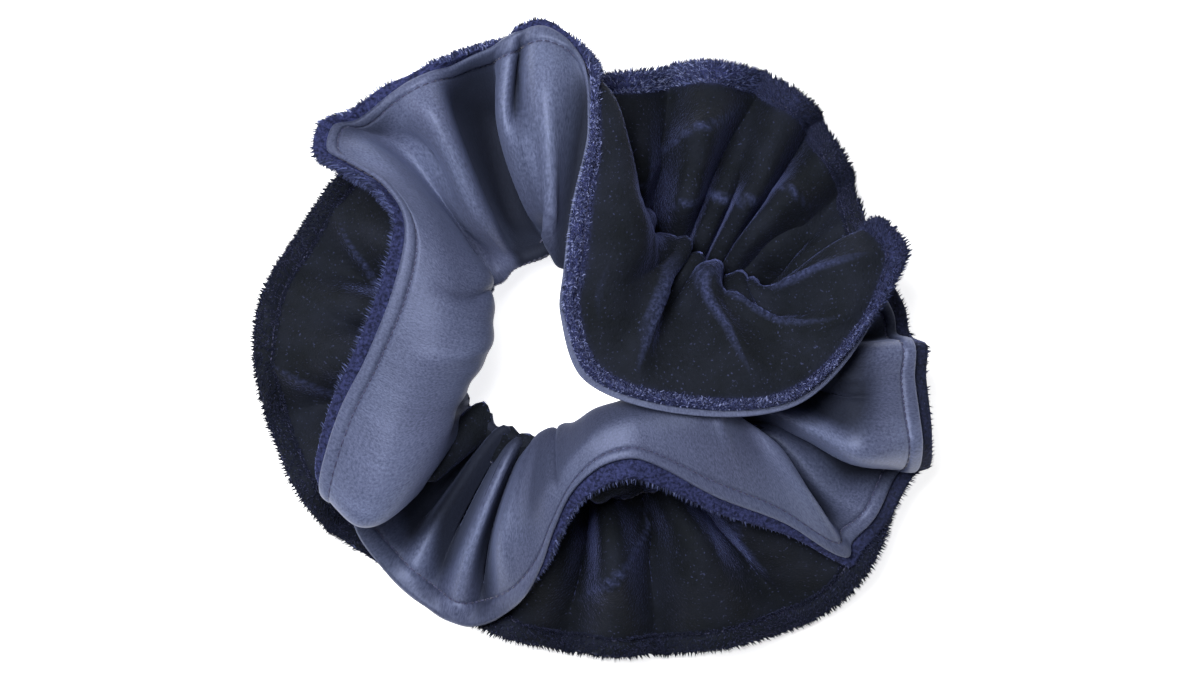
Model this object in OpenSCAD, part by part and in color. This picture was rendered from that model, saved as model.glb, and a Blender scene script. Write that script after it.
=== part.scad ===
// Reversible gathered hair scrunchie: one satin strip and one velvet strip, sewn together along
// both long edges and gathered in the middle on a flat elastic. Two ruffled wings stand off the
// elastic's casing, the upper one with its satin to the hair loop, the lower one on the table.
// Millimetres. +Z is up, and the origin is under the middle of the ruffle, on the table.
// The scrunchie is cut into a left and a right half at the loop, so that it can be stretched.

/* [Fabric] */
// Thickness of the satin
satin_thickness = 0.5; // [0.3:0.1:0.6]
// Thickness of the velvet, without its pile
velvet_thickness = 1.2; // [0.8:0.1:1.4]
// Space between the satin and the velvet
layer_gap = 0.6; // [0.6:0.1:0.8]
// Width of each wing, from the casing to the sewn edge
wing_width = 47; // [45:1:49]

/* [Casing] */
// Half the length of the gathered casing, left to right
casing_half_x = 29; // [28.5:0.1:29.5]
// Half the length of the gathered casing, front to back
casing_half_y = 25; // [24.5:0.1:25.5]
// Height of the casing's middle above the table
casing_height = 16; // [15:0.5:17]
// Width of the casing, between its two rows of stitching
casing_width = 8; // [7.5:0.5:9]

/* [Elastic] */
// Width of the elastic band
elastic_width = 6; // [5:0.5:6.5]
// Thickness of the elastic band
elastic_thickness = 1; // [0.8:0.1:1.2]

/* [Stitching] */
// Diameter of the sewing thread
thread_diameter = 0.4; // [0.3:0.05:0.5]
// Distance of the topstitching from the sewn edge
hem_width = 3.2; // [2.8:0.2:4]

/* [Halves] */
// Length of strip left out where the two halves meet
split_gap = 2; // [1.6:0.2:3]

/* [Hidden] */

strip_length = 560;       // flat length of the strip, all the way round
top_split = 552;          // places along the strip where the two halves meet
bottom_split = 350;
left_stations = 32;       // cross-sections along each half
right_stations = 54;
thread_sides = 5;
casing_centre = [1, -5.5];
casing_gap = elastic_thickness + 0.5;
strip_width = 2 * wing_width + casing_width;
upper_line = wing_width;                    // the two rows of casing stitches, across the strip
lower_line = wing_width + casing_width;
stitch_room = (casing_width - elastic_width) / 2 - 0.1;
edge_seam_inset = 1;                        // the hidden seam that joins the two strips
end_seam_place = 205;                       // where the strip's own two ends are sewn together

// Upper wing, walked round clockwise: place along the strip, then its sewn edge and two points
// further in, at a third and two thirds of the way to the casing.
UPPER = [
    [0, [-10, 64, 33], [-11, 47, 36], [-8, 32, 31]],
    [10, [-3, 58, 38], [-3, 46, 36], [-2, 33, 30]],
    [18, [2, 51, 42], [7, 41, 42], [9, 29, 34]],
    [32, [-1, 38, 45], [7, 34, 45], [10, 25, 34]],
    [46, [-4, 25, 46], [5, 25, 47], [11, 21, 36]],
    [67, [-6, 5, 46], [3, 10, 46], [9, 15, 34]],
    [82, [-1, -8, 46], [6, -1, 43], [12, 8, 33]],
    [102, [17, -14, 45], [17, -6, 42], [18, 4, 33]],
    [125, [38, -13, 43], [34, -5, 42], [30, 3, 33]],
    [142, [50, -3, 41], [43, 0, 41], [35, 4, 32]],
    [166, [62, 16, 37], [51, 13, 38], [39, 9, 31]],
    [176, [57, 22, 33], [48, 17, 33], [38, 9, 28]],
    [186, [54, 15, 26], [47, 9, 27], [38, 4, 26]],
    [203, [59, 0, 23], [49, -2, 29], [39, -3, 29]],
    [215, [67, -7, 25], [54, -8, 31], [41, -8, 30]],
    [231, [68, -21, 23], [56, -19, 28], [42, -16, 27]],
    [244, [62, -31, 19], [51, -26, 21], [39, -21, 22]],
    [263, [51, -46, 17], [43, -36, 24], [34, -25, 26]],
    [280, [39, -37, 27], [33, -26, 34], [26, -19, 31]],
    [297, [25, -29, 37], [21, -19, 40], [16, -17, 31]],
    [315, [9, -24, 44], [8, -16, 41], [5, -17, 31]],
    [330, [-4, -30, 41], [-4, -22, 40], [-3, -22, 30]],
    [355, [-13, -51, 26], [-16, -40, 31], [-13, -32, 29]],
    [371, [-26, -58, 17], [-25, -46, 25], [-19, -35, 26]],
    [387, [-39, -52, 16], [-34, -41, 22], [-25, -31, 24]],
    [417, [-55, -30, 29], [-43, -26, 33], [-33, -20, 29]],
    [445, [-45, -6, 42], [-33, -6, 42], [-25, -6, 33]],
    [461, [-39, 8, 45], [-28, 6, 43], [-22, 3, 32]],
    [488, [-42, 32, 41], [-32, 26, 40], [-24, 17, 31]],
    [503, [-54, 38, 35], [-42, 34, 36], [-30, 25, 30]],
    [527, [-38, 50, 31], [-32, 41, 34], [-24, 30, 31]],
    [543, [-24, 57, 31], [-21, 44, 26], [-17, 30, 22]],
];

// Lower wing's sewn edge, walked round the same way: place along the strip, then the point.
LOWER = [
    [0, [-9, 50, 7]],
    [17, [3, 52, 11]],
    [67, [27, 54, 12]],
    [102, [41, 47, 11]],
    [142, [50, 36, 14]],
    [166, [54, 25, 20]],
    [190, [59, 10, 8]],
    [215, [63, -6, 3]],
    [231, [63, -20, 3]],
    [263, [55, -47, 5]],
    [290, [40, -59, 0.7]],
    [315, [18, -63, 4]],
    [345, [-4, -63, 0.7]],
    [371, [-24, -58, 4]],
    [393, [-43, -47, 0.7]],
    [417, [-58, -34, 5]],
    [440, [-67, -14, 0.7]],
    [461, [-68, 5, 5]],
    [485, [-60, 21, 0.7]],
    [505, [-50, 34, 5]],
    [530, [-33, 44, 0.7]],
];

// Where each place along the strip is gathered to, as an angle round the casing.
GATHERS = [
    [0, [100]], [67, [60]], [102, [45]], [166, [22]], [215, [-3]], [263, [-42]], [315, [-77]],
    [371, [-115]], [417, [-152]], [461, [-192]], [503, [-217]],
];

// How far across the strip the solids have a row of points
ROWS = [
    0, hem_width, wing_width / 4, wing_width / 2, wing_width * 3 / 4,
    upper_line, upper_line + stitch_room, lower_line - stitch_room, lower_line,
    lower_line + wing_width / 3, lower_line + wing_width * 2 / 3, strip_width - hem_width, strip_width,
];
CASING_ROWS = [6, 7];      // where the layers stand apart to hold the elastic

// ---- smooth curves through points ----

function unit(v) = v / norm(v);

function smooth(a, b, slope_a, slope_b, t) =
    a * (1 + t * t * (2 * t - 3)) + b * t * t * (3 - 2 * t)
    + slope_a * t * (1 - t) * (1 - t) - slope_b * t * t * (1 - t);

// Point c of entry i of a table that closes on itself, and that entry's place along the strip
function place(table, i) =
    let (n = len(table), turn = floor(i / n)) table[i - turn * n][0] + turn * strip_length;
function point(table, i, c, turn_step) =
    let (n = len(table), turn = floor(i / n)) table[i - turn * n][c] + turn * turn_step;
function slope(table, i, c, turn_step) =
    (point(table, i + 1, c, turn_step) - point(table, i - 1, c, turn_step))
    / (place(table, i + 1) - place(table, i - 1));
function entry(table, s, i = 0) =
    i + 1 < len(table) && table[i + 1][0] <= s ? entry(table, s, i + 1) : i;
function follow(table, s, c, turn_step) =
    let (i = entry(table, s), length = place(table, i + 1) - place(table, i))
    smooth(
        point(table, i, c, turn_step), point(table, i + 1, c, turn_step),
        slope(table, i, c, turn_step) * length, slope(table, i + 1, c, turn_step) * length,
        (s - place(table, i)) / length
    );
function around(table, s, c) = follow(table, s, c, [0, 0, 0]);

// ---- the ruffled middle surface between the two layers ----

function gather_angle(s) = follow(GATHERS, s, 1, [-360])[0];
function casing_point(angle, height) = [
    casing_centre[0] + casing_half_x * cos(angle),
    casing_centre[1] + casing_half_y * sin(angle),
    casing_height + height,
];

// One cross-section: its upper wing, casing and lower wing, each as [distance across, point]
function section(s) =
    let (
        angle = gather_angle(s),
        upper_casing = casing_point(angle, casing_width / 2),
        lower_casing = casing_point(angle, -casing_width / 2),
        lower_edge = around(LOWER, s, 1)
    )
    [
        [
            [0, around(UPPER, s, 1)],
            [wing_width / 3, around(UPPER, s, 2)],
            [wing_width * 2 / 3, around(UPPER, s, 3)],
            [upper_line, upper_casing],
        ],
        [[upper_line, upper_casing], [lower_line, lower_casing]],
        [
            [lower_line, lower_casing],
            [lower_line + wing_width / 2, (lower_casing + lower_edge) / 2 + [0, 0, 1]],
            [strip_width, lower_edge],
        ],
    ];
function across_slope(points, i) =
    let (a = max(i - 1, 0), b = min(i + 1, len(points) - 1))
    (points[b][1] - points[a][1]) / (points[b][0] - points[a][0]);
function across_part(points, v) =
    let (
        i = min(entry(points, v), len(points) - 2),
        width = points[i + 1][0] - points[i][0]
    )
    smooth(
        points[i][1], points[i + 1][1],
        across_slope(points, i) * width, across_slope(points, i + 1) * width,
        (v - points[i][0]) / width
    );
function across(section, v) = across_part(section[v < upper_line ? 0 : v < lower_line ? 1 : 2], v);

// The stations of a half, each as its own cross-section and those a step before and after it
function half(from, to, count) = [
    for (i = [0:count - 1])
        let (s = from + (to - from) * i / (count - 1))
        [for (step = [-1:1]) section((s + step + strip_length) % strip_length)]
];
LEFT = half(bottom_split + split_gap / 2, top_split - split_gap / 2, left_stations);
RIGHT = half(top_split - strip_length + split_gap / 2, bottom_split - split_gap / 2, right_stations);

function surface_point(station, v) = across(station[1], v);
function satin_side(station, v) =
    let (
        step = 0.5,
        along = across(station[2], v) - across(station[0], v),
        over = surface_point(station, min(v + step, strip_width))
            - surface_point(station, max(v - step, 0))
    )
    unit(cross(over, along));
function offset_point(station, v, distance) =
    surface_point(station, v) + satin_side(station, v) * distance;
function half_gap(row) =
    (row == CASING_ROWS[0] || row == CASING_ROWS[1] ? casing_gap : layer_gap) / 2;

// ---- solids that follow the surface along a half ----

// A closed solid through one outline at every station, with flat ends cut at a cross-section
module run(outlines, fan_ends) {
    n = len(outlines);
    m = len(outlines[0]);
    last = (n - 1) * m;
    polyhedron(
        points = [for (outline = outlines) each outline],
        faces = concat(
            [
                for (i = [0:n - 2], j = [0:m - 1])
                    let (
                        a = i * m + j, b = i * m + (j + 1) % m,
                        c = (i + 1) * m + (j + 1) % m, d = (i + 1) * m + j
                    )
                    each [[a, c, b], [a, d, c]]
            ],
            [for (f = fan_ends) f],
            [for (f = fan_ends) [f[0] + last, f[2] + last, f[1] + last]]
        )
    );
}

// Triangles that close an end: across a layer of cloth, and across a thread
function cloth_end(m) = [for (j = [0:m / 2 - 2]) each [[j, j + 1, m - 2 - j], [j, m - 2 - j, m - 1 - j]]];
function thread_end(m) = [for (j = [1:m - 2]) [0, j, j + 1]];

// One layer of cloth. Its two faces are measured from the gap between the layers, and the first
// one is nearer the satin's outside.
module cloth(stations, side, first, second) {
    last = len(ROWS) - 1;
    run([
        for (station = stations) concat(
            [for (j = [0:last]) offset_point(station, ROWS[j], side * (half_gap(j) + first))],
            [for (j = [last:-1:0]) offset_point(station, ROWS[j], side * (half_gap(j) + second))]
        )
    ], cloth_end(2 * len(ROWS)));
}

// A sewing thread along the strip, at a distance from the surface on its satin side
module thread(stations, v, distance) {
    r = thread_diameter / 2;
    run([
        for (station = stations)
            let (
                n = satin_side(station, v),
                along = unit(across(station[2], v) - across(station[0], v)),
                b = cross(n, along),
                middle = surface_point(station, v) + n * distance
            )
            [for (k = [0:thread_sides - 1])
                let (turn = -360 * k / thread_sides) middle + r * (n * cos(turn) + b * sin(turn))]
    ], thread_end(thread_sides));
}

// Lockstitching through both layers: the needle thread on the satin, the bobbin one on the velvet
module stitching(stations, v, gap) {
    lift = gap / 2 + thread_diameter / 2;
    thread(stations, v, lift + satin_thickness);
    thread(stations, v, -lift - velvet_thickness);
}

// ---- the pieces ----

top_angle = gather_angle(top_split) + 360;
bottom_angle = gather_angle(bottom_split);
end_gap = 0.6;            // angle left out at each end of a half of the elastic
join_angles = [-6, -14];  // the two rows of stitches down the elastic's overlapped ends
seam_clearance = 2;       // from the end seam to the nearest stitching or casing
seam_stitches = 8;        // in each wing

module satin_strip(stations) color([0.33, 0.34, 0.48]) cloth(stations, 1, satin_thickness, 0);

module velvet_strip(stations) color([0.10, 0.11, 0.20]) cloth(stations, -1, 0, velvet_thickness);

// The elastic between two angles round the casing
module elastic_band(from, to) {
    steps = 30;
    function arc(grow, a, b) = [
        for (i = [0:steps])
            let (angle = a + (b - a) * i / steps)
            casing_centre
                + [(casing_half_x + grow) * cos(angle), (casing_half_y + grow) * sin(angle)]
    ];
    color([0.85, 0.85, 0.86])
    translate([0, 0, casing_height - elastic_width / 2])
    linear_extrude(elastic_width)
    polygon(concat(arc(elastic_thickness / 2, from, to), arc(-elastic_thickness / 2, to, from)));
}

module elastic_join_stitches() {
    for (angle = join_angles)
        color([0.8, 0.8, 0.82])
        translate(casing_point(angle, 0))
        rotate([0, 0, angle])
        translate([elastic_thickness / 2 + thread_diameter / 4, 0, 0])
        cube([thread_diameter / 2, thread_diameter, elastic_width - 1], center = true);
}

// The seam across the strip that closes it into a ring, one run of stitches in each wing
module end_seam_run(from_v, to_v) {
    stitched = 0.9;       // how much of each stitch's pitch is thread
    side = thread_diameter * 0.7;
    station = [for (step = [-1:1]) section(end_seam_place + step)];
    for (k = [0:seam_stitches - 1])
        hull() {
            for (end = [k, k + stitched])
                translate(surface_point(station, from_v + (to_v - from_v) * end / seam_stitches))
                cube(side, center = true);
        }
}

module strip_end_seam() {
    color([0.18, 0.18, 0.3]) {
        end_seam_run(hem_width + seam_clearance, upper_line - seam_clearance);
        end_seam_run(lower_line + seam_clearance, strip_width - hem_width - seam_clearance);
    }
}

module topstitch(stations, v) color([0.22, 0.23, 0.38]) stitching(stations, v, layer_gap);

module edge_seam(stations, v) color([0.18, 0.18, 0.3]) thread(stations, v, 0);

module casing_stitch(stations, v) color([0.2, 0.2, 0.34]) stitching(stations, v, casing_gap);

satin_strip(LEFT);  // satin_strip_left
satin_strip(RIGHT);  // satin_strip_right
velvet_strip(LEFT);  // velvet_strip_left
velvet_strip(RIGHT);  // velvet_strip_right
elastic_band(top_angle + end_gap - 360, bottom_angle - end_gap);  // elastic_band_left
elastic_band(bottom_angle + end_gap, top_angle - end_gap);  // elastic_band_right
elastic_join_stitches();
strip_end_seam();
topstitch(LEFT, hem_width);  // upper_topstitch_left
topstitch(RIGHT, hem_width);  // upper_topstitch_right
topstitch(LEFT, strip_width - hem_width);  // lower_topstitch_left
topstitch(RIGHT, strip_width - hem_width);  // lower_topstitch_right
edge_seam(LEFT, edge_seam_inset);  // upper_edge_seam_left
edge_seam(RIGHT, edge_seam_inset);  // upper_edge_seam_right
edge_seam(LEFT, strip_width - edge_seam_inset);  // lower_edge_seam_left
edge_seam(RIGHT, strip_width - edge_seam_inset);  // lower_edge_seam_right
casing_stitch(LEFT, upper_line + stitch_room / 2);  // upper_casing_stitch_left
casing_stitch(RIGHT, upper_line + stitch_room / 2);  // upper_casing_stitch_right
casing_stitch(LEFT, lower_line - stitch_room / 2);  // lower_casing_stitch_left
casing_stitch(RIGHT, lower_line - stitch_room / 2);  // lower_casing_stitch_right
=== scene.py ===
"""A reversible gathered scrunchie: satin outside, velvet inside, ruffled on a flat elastic.

The cloth is one middle surface, measured by s, the place along the strip, and v, the distance
across it from the upper sewn edge. The satin lies on one side of it and the velvet on the other.
Places in the tables are millimetres, in the CAD frame. Meshes are made in metres.
"""
import math

import bpy
import numpy as np
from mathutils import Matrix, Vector


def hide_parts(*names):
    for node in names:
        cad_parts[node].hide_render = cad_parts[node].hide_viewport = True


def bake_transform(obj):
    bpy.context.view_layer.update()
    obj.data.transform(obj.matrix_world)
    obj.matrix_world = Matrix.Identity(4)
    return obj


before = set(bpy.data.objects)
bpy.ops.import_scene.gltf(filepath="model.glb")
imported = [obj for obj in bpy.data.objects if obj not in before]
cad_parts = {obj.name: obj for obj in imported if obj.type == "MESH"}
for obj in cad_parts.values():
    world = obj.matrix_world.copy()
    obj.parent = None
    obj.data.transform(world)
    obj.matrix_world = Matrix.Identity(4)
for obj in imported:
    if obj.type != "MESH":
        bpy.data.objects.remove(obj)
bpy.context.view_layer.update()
MM = 0.001

# ==== shape: the ruffled middle surface ====

# The strip laid flat, and how finely it is divided
STRIP_LENGTH = 560.0
WING = 47.0
CASING = 8.0
STRIP_WIDTH = 2 * WING + CASING
HEM = 3.2
STATIONS = 560
HEM_ROWS = (0, 0.35, 0.8, 1.3, 1.8, 2.3, 2.7, 2.95, HEM, 3.45, 3.8, 4.4, 5.2)
MIDDLE_ROWS = 64

# The casing's ring, and how the lower wing hangs from it
CASING_CENTRE = (1.0, -5.5)
CASING_RADII = (29.0, 25.0)
CASING_Z = 16.0
LOWER_WING_RISE = 5.0
PILE_REACH = 1.6
TABLE_CLEARANCE = 1.3

# Gathers: how many round the ring, how high, and how far they wander, as waves and size
FINE_GATHERS = 46
FINE_HEIGHT = 1.4
MIDDLING_GATHERS = 23
MIDDLING_LOWER = 6.2
MIDDLING_UPPER = 4.4
BROAD_GATHERS = 11
BROAD_HEIGHT = 1.6
WANDER = ((3, 5.0), (5, 4.0), (8, 2.5), (13, 1.5))
RUFFLES = 17
RUFFLE_LIFT = 9.5

# Pressing the lower wing down: the room it leaves, and the grid that holds the upper wing's height
WING_CLEARANCE = 3.0
PRESS_SPREAD = 2
PRESS_MARGIN = 2
ROOF_CELL = 2.0
ROOF_CELLS = 80
NO_ROOF = 99.0

# Folds that sink away from the satin, and start before this place, show velvet and get a painted
# highlight along their crests, this wide
VELVET_SIDE_UP = 500
CREST_WIDTH = 0.95

# Upper wing, walked round clockwise: place along the strip, then its sewn edge and two points
# further in, at a third and two thirds of the way to the casing.
UPPER = [
    (0, (-10, 61.5, 35), (-10, 47, 41), (-9, 24, 37)),
    (6, (-5, 58.5, 36), (-5, 47, 39), (-8.5, 18.5, 35)),
    (12, (-2, 54.5, 40), (-1, 45, 38), (-7, 15, 33)),
    (18, (-0.8, 50, 43), (3, 43, 42), (-3, 16.5, 33)),
    (25, (-0.7, 44, 45), (5, 38, 44), (5, 25, 34)),
    (32, (-1, 38, 46), (6, 33, 45), (8, 25, 34)),
    (46, (-4, 25, 47), (7.5, 25, 47), (10.5, 21, 37)),
    (58, (-5.5, 13, 47), (7, 17, 46), (10.5, 16, 36)),
    (67, (-6, 5, 46), (4, 10, 45), (10, 13, 34)),
    (82, (-1, -8, 46), (6, -1, 43), (12, 8, 33)),
    (102, (17, -14, 45), (17, -6, 42), (18, 4, 33)),
    (125, (38, -13, 43), (34, -5, 42), (30, 3, 33)),
    (142, (50, -3, 41), (43, 0, 41), (35, 4, 32)),
    (166, (60, 15.5, 37), (50, 13, 38), (39, 9, 31)),
    (176, (55.5, 21, 33), (48, 17, 33), (38, 9, 28)),
    (186, (54, 15, 26), (47, 9, 27), (38, 4, 26)),
    (196, (59.5, 5, 20), (50, 1, 23), (40, 0, 22)),
    (202, (60.5, 0, 20), (51, -2, 23), (41, -2, 20)),
    (207, (63.5, -1.5, 28), (52.5, -2.5, 32), (42, -5, 22)),
    (215, (63.5, -8, 28), (51, -9, 33), (41, -9, 18)),
    (225, (64.5, -16, 28), (51, -15, 34), (41, -12, 18)),
    (231, (65, -21.5, 28), (53, -23, 36), (43, -18, 31)),
    (237, (64.5, -26, 22), (52, -25, 28), (42, -20, 23)),
    (243, (61, -27, 17), (50, -22.5, 14), (39, -17, 13)),
    (252, (56, -36, 19), (46, -30, 22), (36, -20, 23)),
    (260, (51.5, -41, 18), (41, -31, 18), (32, -20, 18)),
    (266, (50, -44, 19), (42.5, -31, 30), (34, -20, 31)),
    (280, (38, -37, 27), (32, -23, 36), (25, -14, 32)),
    (297, (24, -31.5, 36), (20, -17, 41), (16, -10, 32)),
    (315, (9, -24, 44), (8, -15, 43), (5, -13, 33)),
    (322, (2, -25, 44), (1, -17, 43), (0, -14, 33)),
    (330, (-4, -30, 41), (-4, -22, 42), (-3, -16, 32)),
    (340, (-8, -38, 36), (-9, -29, 38), (-6, -18, 30)),
    (348, (-10.5, -45, 31), (-12, -34, 34), (-9, -19, 28)),
    (355, (-14, -51, 26), (-16, -37, 32), (-11, -20, 27)),
    (361, (-18, -54.5, 21), (-19, -39, 29), (-12, -21, 25)),
    (367, (-23, -57, 18), (-20.5, -38, 12), (-13.5, -21, 23)),
    (373, (-28, -56.5, 17), (-24, -40, 26), (-15.5, -21, 26)),
    (380, (-33.5, -53.5, 16), (-27, -38, 10), (-17, -20.5, 23)),
    (386, (-38, -50, 16), (-30.5, -35, 17), (-18.5, -18.5, 25)),
    (391, (-42, -46, 16), (-32, -34, 10), (-20, -19, 23)),
    (398, (-46.5, -40, 18), (-35, -32, 15), (-22, -17.5, 23)),
    (406, (-50, -33, 21), (-38, -28, 13), (-24, -15, 23)),
    (415, (-54, -31, 31), (-46, -37, 34), (-37, -32, 31)),
    (421, (-54, -26, 34), (-44, -33, 38), (-33, -26, 34)),
    (430, (-50.5, -15, 38), (-40, -22, 41), (-29, -18, 36)),
    (445, (-45, -4, 42), (-34, -9, 42), (-25, -8, 36)),
    (461, (-39.5, 10, 45), (-28, 4, 44), (-20.5, 2, 36)),
    (475, (-37.5, 22, 45), (-27.5, 14, 43), (-20, 11, 35)),
    (488, (-42, 30, 42), (-33, 25, 40), (-25, 16, 32)),
    (497, (-49, 34.5, 38), (-39, 31, 38), (-30, 22, 31)),
    (503, (-53, 37, 35), (-43, 36, 35), (-32, 26, 29)),
    (508, (-52, 42, 32), (-43, 38, 30), (-30, 25, 27)),
    (513, (-47, 43.5, 31), (-39, 38, 27), (-28, 24, 25)),
    (518, (-41, 48, 32), (-36, 40, 32), (-26.5, 24, 29)),
    (523, (-37, 50.5, 33), (-32, 42, 38), (-24, 25, 33)),
    (527, (-33, 52.5, 33), (-29, 43, 35), (-21.5, 25, 30)),
    (532, (-29, 54, 31), (-28, 44, 17), (-20.5, 25, 15)),
    (538, (-25, 56, 30), (-23.5, 45, 7), (-17.5, 24.5, 10)),
    (545, (-21, 57.5, 31), (-17.5, 45, 9), (-12.5, 25, 13)),
    (550, (-18, 59, 32), (-19, 43, 29), (-13.5, 26, 27)),
    (555, (-14.5, 60.8, 34), (-15.5, 45, 38), (-11, 27, 33)),
]

# Lower wing's sewn edge, walked round the same way
LOWER = [
    (0, (-9, 51, 7)), (17, (3, 52.6, 10)), (67, (27, 55, 10)), (102, (42, 48.4, 9)),
    (142, (50, 36, 12)), (166, (54, 25, 18)), (190, (59, 10, 8)), (215, (63, -6, 4)),
    (231, (63, -20, 4)), (263, (55, -47, 5)), (290, (40, -59, 4)), (315, (18, -63.5, 5)),
    (345, (-4, -63.6, 4)), (371, (-24, -58, 5)), (393, (-43, -47, 4)), (417, (-58, -34, 5)),
    (440, (-67, -14, 4)), (461, (-68, 5, 5)), (485, (-60, 21, 4)), (505, (-50, 34, 5)),
    (530, (-33, 44, 4)),
]

# Where each place along the strip is gathered to, as an angle round the casing
GATHERED_TO = [
    (0, 100), (67, 60), (102, 45), (166, 22), (215, -3), (263, -42), (315, -77), (371, -115),
    (417, -152), (461, -192), (503, -217),
]

# Painted light and shade on the lower hem's pile: near 0 it is painted as dark as the velvet, at 1
# painted as lit
LOWER_HEM_PAINTED_LIGHT = [
    (0, 1.0), (60, 1.0), (85, 0.65), (110, 0.25), (145, 0.1), (170, 0.05), (205, 0.3), (240, 0.3),
    (265, 0.05), (400, 0.05), (510, 0.05), (540, 0.9),
]

# The same for the upper hem
UPPER_HEM_PAINTED_LIGHT = [
    (0, 1.1), (140, 1.0), (165, 0.7), (180, 0.35), (250, 0.35), (265, 0.7), (280, 0.85),
    (340, 0.85), (430, 0.8), (490, 0.8), (520, 1.0),
]

# How far the velvet hem stands out past the upper edge, where it faces up or away
HEM_REACH = [
    (0, 2.0), (20, 1.0), (150, 1.0), (170, 2.4), (195, 3.0), (235, 3.2), (246, 3.2), (262, 3.4),
    (275, 4.4), (330, 4.2), (350, 1.5), (400, 1.0), (425, 2.6), (500, 2.8), (520, 2.0), (545, 1.2),
]

# How much of the even gathering is left beside the folds that are listed in FOLDS
EVENNESS = [
    (0, 0.3), (25, 0.5), (60, 0.5), (185, 0.5), (205, 0.25), (270, 0.25), (285, 0.8), (335, 0.8),
    (352, 0.15), (420, 0.15), (440, 0.55), (475, 0.6), (500, 0.8), (518, 0.2), (550, 0.15),
]

# Painted shade on the upper wing's satin, added to what its own height gives: darker above 0,
# painted lighter below 0
PAINTED_SHADE_BY_PLACE = [
    (0, 0.3), (14, 0.35), (26, 0.4), (40, 0.0), (196, 0.0), (204, 0.7), (226, 0.75), (234, 0.1),
    (240, 0.3), (260, 0.3), (268, 0.0), (296, 0.2), (340, 0.2), (362, 0.25), (368, 0.65),
    (374, 0.5), (382, 0.85), (404, 0.9), (414, 0.0), (490, 0.0), (504, -0.6), (520, -0.65),
    (530, 0.5), (545, 0.75), (552, 0.25),
]

# How far the satin rolls over the upper edge, from 0, where the pile hides it, to 1, like a piping
RIM_ROLL = [
    (0, 0.0), (12, 0.2), (22, 0.6), (60, 0.65), (75, 1.0), (140, 1.0), (155, 0.3), (166, 0.0),
    (230, 0.0), (275, 0.1), (345, 0.2), (360, 1.0), (395, 1.0), (410, 0.3), (420, 0.0), (480, 0.0),
    (534, 0.0), (543, 0.6), (551, 0.5),
]

# Single folds: height towards the satin side, half width, then the places that the fold runs through
FOLDS = [
    (-4.5, 4.5, [(70, 41), (74, 30), (83, 23), (87, 16), (91, 7)]),
    (-3.6, 4.0, [(90, 44), (108, 36), (116, 24), (120, 10)]),
    (-3.0, 3.4, [(96, 41), (125, 32), (142, 22), (152, 9)]),
    (-2.2, 1.6, [(160, 38), (167, 22), (168, 8)]),
    (-0.6, 1.5, [(10, 20), (22, 27), (40, 30), (60, 31), (72, 31)]),
    (-3.4, 3.4, [(26, 66), (41, 78), (66, 86), (80, 97)]),
    (-3.0, 3.0, [(52, 64), (66, 71), (108, 77)]),
    (-2.4, 1.8, [(4, 92), (14, 80), (20, 68)]),
    (-3.0, 3.4, [(88, 64), (100, 74), (128, 84), (150, 90)]),
    (-3.0, 2.6, [(304, 57), (308, 61), (319, 70), (330, 78), (346, 91)]),
    (-2.0, 2.0, [(290, 62), (293, 70), (298, 80)]),
    (-2.4, 1.6, [(270, 64), (282, 76), (284, 90)]),
    (-2.4, 1.6, [(495, 97), (486, 84), (468, 72)]),
    (-2.2, 1.6, [(450, 99), (445, 90), (438, 80)]),
    (-2.2, 1.6, [(425, 95), (426, 84), (432, 72)]),
    (-3.0, 3.0, [(515, 12), (517, 20), (518, 28)]),
    (1.0, 2.6, [(450, 12), (453, 22), (456, 30)]),
    (-1.4, 1.4, [(466, 10), (468, 22), (474, 34)]),
    (1.3, 1.3, [(0, 14), (2, 26), (6, 38)]),
    (-1.5, 1.3, [(556, 10), (558, 24), (559, 38)]),
    (1.4, 1.3, [(290, 12), (292, 24), (298, 36)]),
    (-1.6, 1.3, [(336, 10), (340, 22), (345, 34)]),
    (2.0, 1.6, [(214, 12), (213, 24), (210, 36)]),
    (-2.0, 1.5, [(220, 10), (220, 22), (216, 34)]),
    (1.6, 1.4, [(250, 12), (248, 24), (244, 36)]),
]

# Open slits: depth straight down, half width, and the places that the slit runs through
SLITS = [
    (11.0, 1.7, [(555, 2), (555, 9), (555, 19)]),
]

# Places of painted shade on the satin: how much, half width, and the places that it runs through
PAINTED_SHADE_MARKS = [
    (0.6, 5.0, [(553, 30), (556, 36), (0, 44)]),
    (0.5, 5.0, [(530, 43), (548, 43)]),
]

# Painted highlights on the velvet's pile, where it looks lit: how much, half width, and its route
PILE_HIGHLIGHT_MARKS = [
    (0.75, 3.0, [(66, 42), (71, 33), (77, 27), (83, 21), (86, 14)]),
    (0.7, 2.2, [(86, 45), (94, 42), (104, 38), (111, 32)]),
    (0.5, 2.4, [(40, 36), (52, 37), (62, 39)]),
    (0.45, 3.0, [(52, 9), (66, 10), (80, 9)]),
    (0.5, 1.6, [(16, 74), (12, 82), (6, 90)]),
    (0.45, 2.6, [(292, 60), (312, 62), (336, 60)]),
    (0.4, 2.4, [(120, 12), (140, 12), (156, 14)]),
]


def rows_across():
    """Distances across the strip, close together at both hems."""
    hem = np.array(HEM_ROWS)
    middle = np.linspace(hem[-1], STRIP_WIDTH - hem[-1], MIDDLE_ROWS)[1:-1]
    return np.concatenate([hem, middle, STRIP_WIDTH - hem[::-1]])


def smooth_step(x):
    x = np.clip(x, 0, 1)
    return x * x * (3 - 2 * x)


def unit(vectors):
    length = np.linalg.norm(vectors, axis=-1, keepdims=True)
    return vectors / np.maximum(length, 1e-9)


def hermite(a, b, slope_a, slope_b, t):
    """Smooth step from a to b, with slopes measured over the whole step."""
    return (a * (1 + t * t * (2 * t - 3)) + b * t * t * (3 - 2 * t)
            + slope_a * t * (1 - t) ** 2 - slope_b * t * t * (1 - t))


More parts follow.
